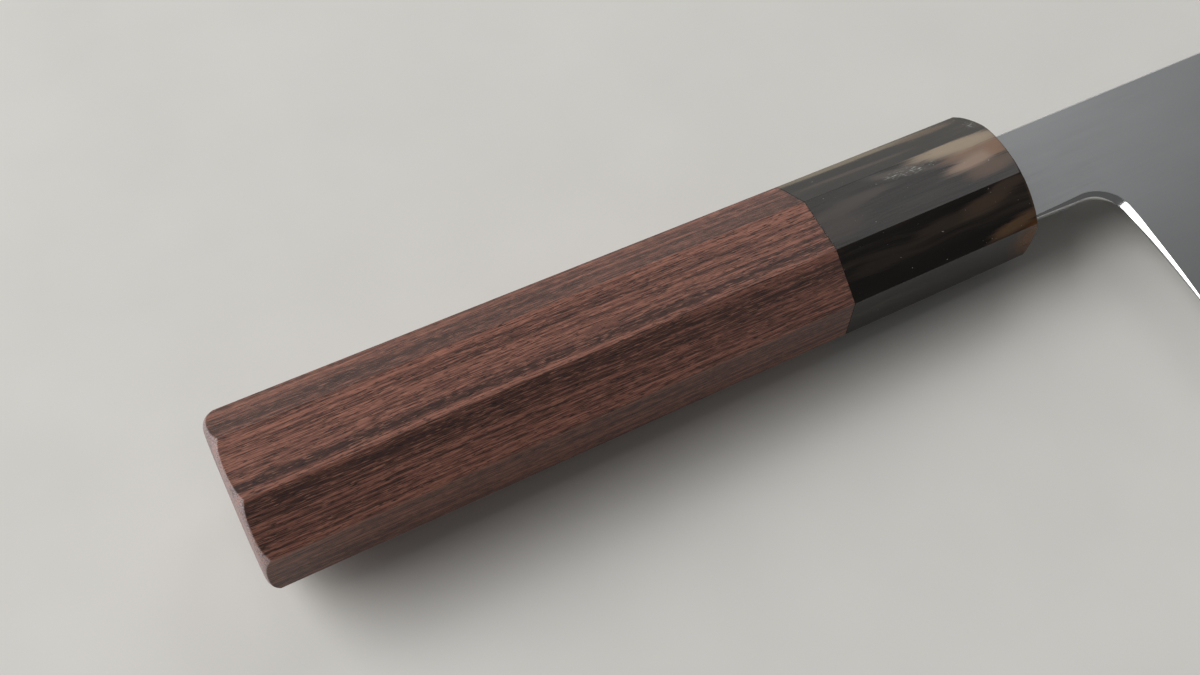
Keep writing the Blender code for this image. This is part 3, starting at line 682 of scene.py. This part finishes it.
def makeHorn():
    h = horn
    material, tree, shader, mm = startMaterial("polishedBuffaloHorn")
    flow = wander(tree, mm, h["wanderMm"], h["wanderReach"])
    band = sizedNoise(tree, flow, h["bandMm"], detail=1.0).outputs["Fac"]
    wisp = sizedNoise(tree, flow, h["wispMm"], (4.0, 9.0, 2.0)).outputs["Fac"]
    hair = sizedNoise(tree, flow, h["hairMm"], (7.0, 1.0, 5.0), rough=0.6).outputs["Fac"]
    tone = blendPatterns(tree, [(band, h["bandShare"]), (wisp, h["wispShare"]), (hair, h["hairShare"])])
    colour = add(tree, "ShaderNodeValToRGB", {"Fac": tone}, stops=h["bands"]).outputs[0]
    streaks = add(tree, "ShaderNodeMath", {0: hair, 1: h["streakGain"], 2: wisp},
                  operation="MULTIPLY_ADD").outputs[0]
    lift = add(tree, "ShaderNodeMath", {0: streaks, 1: h["liftGain"], 2: -h["liftDrop"]},
               operation="MULTIPLY_ADD").outputs[0]

    def nearness(at, sizeMm, turn):
        # one round the patch's middle, falling to nothing a little past its size
        gone, full = h["patchFade"]
        place = add(tree, "ShaderNodeMapping", {"Vector": mm, "Location": at, "Scale": sizeMm,
                                                "Rotation": (0.0, 0.0, radians(turn))}, vector_type="TEXTURE")
        away = add(tree, "ShaderNodeVectorMath", {0: place.outputs[0]}, operation="LENGTH").outputs["Value"]
        return add(tree, "ShaderNodeMapRange", {"Value": away, "From Min": gone, "From Max": full},
                   interpolation_type="SMOOTHSTEP").outputs[0]

    layers = []
    low, high = h["patchRange"]
    for patchColour, at, sizeMm, turn, strength in h["patches"].values():
        # the streaks break the patch up most where it is weak
        near = nearness(at, sizeMm, turn)
        both = add(tree, "ShaderNodeMath", {0: near, 1: lift}, operation="ADD").outputs[0]
        share = add(tree, "ShaderNodeMapRange", {"Value": both, "From Min": low, "From Max": high,
                                                 "To Max": strength}).outputs[0]
        share = add(tree, "ShaderNodeMath", {0: share, 1: near}, operation="MULTIPLY").outputs[0]
        layers.append((share, patchColour))
    along = add(tree, "ShaderNodeSeparateXYZ", {0: mm}).outputs["X"]
    # the painted amber highlight round the front rim
    rim = add(tree, "ShaderNodeMapRange", {"Value": along, "From Min": h["rimFrom"], "From Max": h["rimTo"],
                                           "To Max": h["rimShare"]}).outputs[0]
    worn = add(tree, "ShaderNodeMath", {0: nearness(*h["rubbed"]), 1: nearness(*h["chipped"])},
               operation="MAXIMUM").outputs[0]
    scuffs = add(tree, "ShaderNodeMath", {0: scatter(tree, mm, h["scuff"]), 1: worn},
                 operation="MULTIPLY").outputs[0]
    layers += [(rim, h["rim"]), (scatter(tree, mm, h["mote"]), h["moteColour"]), (scuffs, h["scuffColour"])]
    tree.links.new(layColours(tree, colour, layers), shader.inputs["Base Color"])

    stroke = sizedNoise(tree, mm, h["strokeMm"], (1.0, 5.0, 2.0), rough=0.6).outputs["Fac"]
    smooth, rough = h["roughness"]
    rough = add(tree, "ShaderNodeMapRange", {"Value": stroke, "From Min": noiseLow, "From Max": noiseHigh,
                                             "To Min": smooth, "To Max": rough}).outputs[0]
    rough = add(tree, "ShaderNodeMath", {0: scuffs, 1: h["scuffRoughness"], 2: rough},
                operation="MULTIPLY_ADD").outputs[0]
    tree.links.new(rough, shader.inputs["Roughness"])
    shader.inputs["IOR"].default_value = h["ior"]
    shader.inputs["Specular IOR Level"].default_value = h["gloss"]
    return material


# Stainless-clad steel: faces finished with fine lengthwise strokes to an even satin, the back, neck and
# choil relieved and buffed, and the bevel honed on stones, which leaves it bright and faintly scratched.
steel = {
    "satin": "#98999a", "satinLight": "#a2a3a4", "buffed": "#c3c4c4", "honed": "#a9abac",
    "strokeMm": (26.0, 0.09, 0.09), "cloudMm": (30.0, 12.0, 12.0),
    "satinRoughness": (0.39, 0.46), "buffedRoughness": 0.10, "honedRoughness": 0.24,
    "strokeDepth": 0.00002, "strokeStrength": 0.06,
}


def makeSteel():
    s = steel
    material, tree, shader, mm = startMaterial("satinStainlessSteel")
    stroke = sizedNoise(tree, mm, s["strokeMm"], rough=0.6).outputs["Fac"]
    cloud = sizedNoise(tree, mm, s["cloudMm"]).outputs["Fac"]
    polished = add(tree, "ShaderNodeAttribute", attribute_name="polished").outputs["Fac"]
    honed = add(tree, "ShaderNodeAttribute", attribute_name="honed").outputs["Fac"]
    colour = layColours(tree, toLinear(s["satin"]), [(cloud, s["satinLight"]), (polished, s["buffed"]),
                                                     (honed, s["honed"])])
    tree.links.new(colour, shader.inputs["Base Color"])
    smooth, rough = s["satinRoughness"]
    rough = add(tree, "ShaderNodeMapRange", {"Value": stroke, "From Min": noiseLow, "From Max": noiseHigh,
                                             "To Min": smooth, "To Max": rough}).outputs[0]
    for share, finish in ((polished, s["buffedRoughness"]), (honed, s["honedRoughness"])):
        rough = add(tree, "ShaderNodeMix", {0: share, 2: rough, 3: finish}).outputs[0]
    tree.links.new(rough, shader.inputs["Roughness"])
    bump = add(tree, "ShaderNodeBump", {"Height": stroke, "Strength": s["strokeStrength"],
                                        "Distance": s["strokeDepth"]})
    tree.links.new(bump.outputs[0], shader.inputs["Normal"])
    shader.inputs["Metallic"].default_value = 1.0
    return material


# Magnolia dowel: pale, even, close-grained wood, turned and left bare
dowelWood = {"light": "#c9ae7f", "dark": "#a98a5c", "grainMm": (22.0, 0.5, 0.5),
             "roughness": 0.62, "ior": 1.45}
# Set resin: poured round the tang and hardened, amber and a little cloudy
setResin = {"light": "#996a3c", "dark": "#7a4a22", "grainMm": (5.0, 2.0, 2.0),
            "roughness": 0.28, "ior": 1.55}


def makeInner(name, look):
    # two tones mixed by one noise of the given size, which also raises a faint grain
    material, tree, shader, mm = startMaterial(name)
    grain = sizedNoise(tree, mm, look["grainMm"], detail=3.0).outputs["Fac"]
    tone = add(tree, "ShaderNodeValToRGB", {"Fac": grain},
               stops=[(0.38, look["dark"]), (0.62, look["light"])]).outputs[0]
    tree.links.new(tone, shader.inputs["Base Color"])
    bump = add(tree, "ShaderNodeBump", {"Height": grain, "Strength": 0.5, "Distance": 0.00003})
    tree.links.new(bump.outputs[0], shader.inputs["Normal"])
    shader.inputs["Roughness"].default_value = look["roughness"]
    shader.inputs["IOR"].default_value = look["ior"]
    return material


print("materials")
handleBody.data.materials.append(makeRosewood())
ferrule.data.materials.append(makeHorn())
steelBlade.data.materials.append(makeSteel())
for node, name, look in (("dowel", "turnedMagnolia", dowelWood), ("tang_bond", "castResin", setResin)):
    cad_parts[node].data.materials.clear()
    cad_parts[node].data.materials.append(makeInner(name, look))

# The floor is a plain pale sheet. The main soft box stands behind the butt, low enough to catch its eased
# end and the choil, and a dim panel behind the ferrule lays a soft sheen on horn and steel.
studio = {
    "floorColour": "#dcdad5", "floorShade": "#d8d6d1", "floorRadius": 4.0, "floorCells": 8, "room": 0.14,
    "floorDrop": 0.00002, "mottleScale": 40.0, "floorRoughness": 0.9, "floorSpecular": 0.1,
    "boxPlace": (-2.01, 1.11, 1.56), "boxSize": 2.43, "boxWatts": 100.0,
    "panelPlace": (0.72, 0.80, 1.13), "panelSize": 0.62, "panelWatts": 2.0,
    "aim": (-0.07, 0.01, 0.01),
}


def makeStudio():
    s = studio
    # a flat square grid, a hair below the knife
    cells = s["floorCells"]
    side = np.linspace(-s["floorRadius"], s["floorRadius"], cells + 1)
    u, v = np.meshgrid(side, side, indexing="ij")
    points = np.stack([u, v, np.full_like(u, -s["floorDrop"])], axis=-1).reshape(-1, 3)
    i = (np.arange(cells)[:, None] * (cells + 1) + np.arange(cells)[None, :]).reshape(-1)
    quads = np.stack([i, i + cells + 1, i + cells + 2, i + 1], axis=-1)
    mesh = bpy.data.meshes.new("floor")
    mesh.from_pydata(points.tolist(), [], quads.tolist())
    floor = bpy.data.objects.new("floor", mesh)
    bpy.context.scene.collection.objects.link(floor)
    # matt paper: barely mottled
    material = bpy.data.materials.new("mattPaper")
    material.use_nodes = True
    tree = material.node_tree
    place = add(tree, "ShaderNodeTexCoord")
    mottle = add(tree, "ShaderNodeTexNoise", {"Vector": place.outputs["Object"], "Scale": s["mottleScale"],
                                              "Detail": 3.0}).outputs["Fac"]
    tone = add(tree, "ShaderNodeValToRGB", {"Fac": mottle},
               stops=[(0.3, s["floorShade"]), (0.7, s["floorColour"])]).outputs[0]
    shader = tree.nodes["Principled BSDF"]
    tree.links.new(tone, shader.inputs["Base Color"])
    shader.inputs["Roughness"].default_value = s["floorRoughness"]
    shader.inputs["Specular IOR Level"].default_value = s["floorSpecular"]
    mesh.materials.append(material)

    for name in ("box", "panel"):
        light = bpy.data.lights.new(name, "AREA")
        light.size, light.energy = s[name + "Size"], s[name + "Watts"]
        lamp = bpy.data.objects.new(name, light)
        lamp.location = s[name + "Place"]
        fromAim = Vector(s[name + "Place"]) - Vector(s["aim"])
        lamp.rotation_euler = fromAim.to_track_quat("Z", "Y").to_euler()
        bpy.context.scene.collection.objects.link(lamp)

    world = bpy.data.worlds.new("studioRoom")
    world.use_nodes = True
    world.node_tree.nodes["Background"].inputs["Color"].default_value = (s["room"],) * 3 + (1.0,)
    bpy.context.scene.world = world


# The camera stands where the photograph's was: over the handle, on the edge's side, looking down 61 degrees
view = {"place": (-0.19497, -0.10291, 0.25131), "target": (-0.13487, 0.01586, 0.01287),
        "lens": 50.0, "sensor": 36.0, "clip": (0.01, 20.0)}


def makeCamera():
    lens = bpy.data.cameras.new("photoCamera")
    lens.lens, lens.sensor_width = view["lens"], view["sensor"]
    lens.clip_start, lens.clip_end = view["clip"]
    camera = bpy.data.objects.new("photoCamera", lens)
    camera.location = view["place"]
    fromTarget = Vector(view["place"]) - Vector(view["target"])
    camera.rotation_euler = fromTarget.to_track_quat("Z", "Y").to_euler()
    bpy.context.scene.collection.objects.link(camera)
    bpy.context.scene.camera = camera


print("studio and camera")
makeStudio()
makeCamera()
bpy.context.scene.view_settings.view_transform = "Standard"
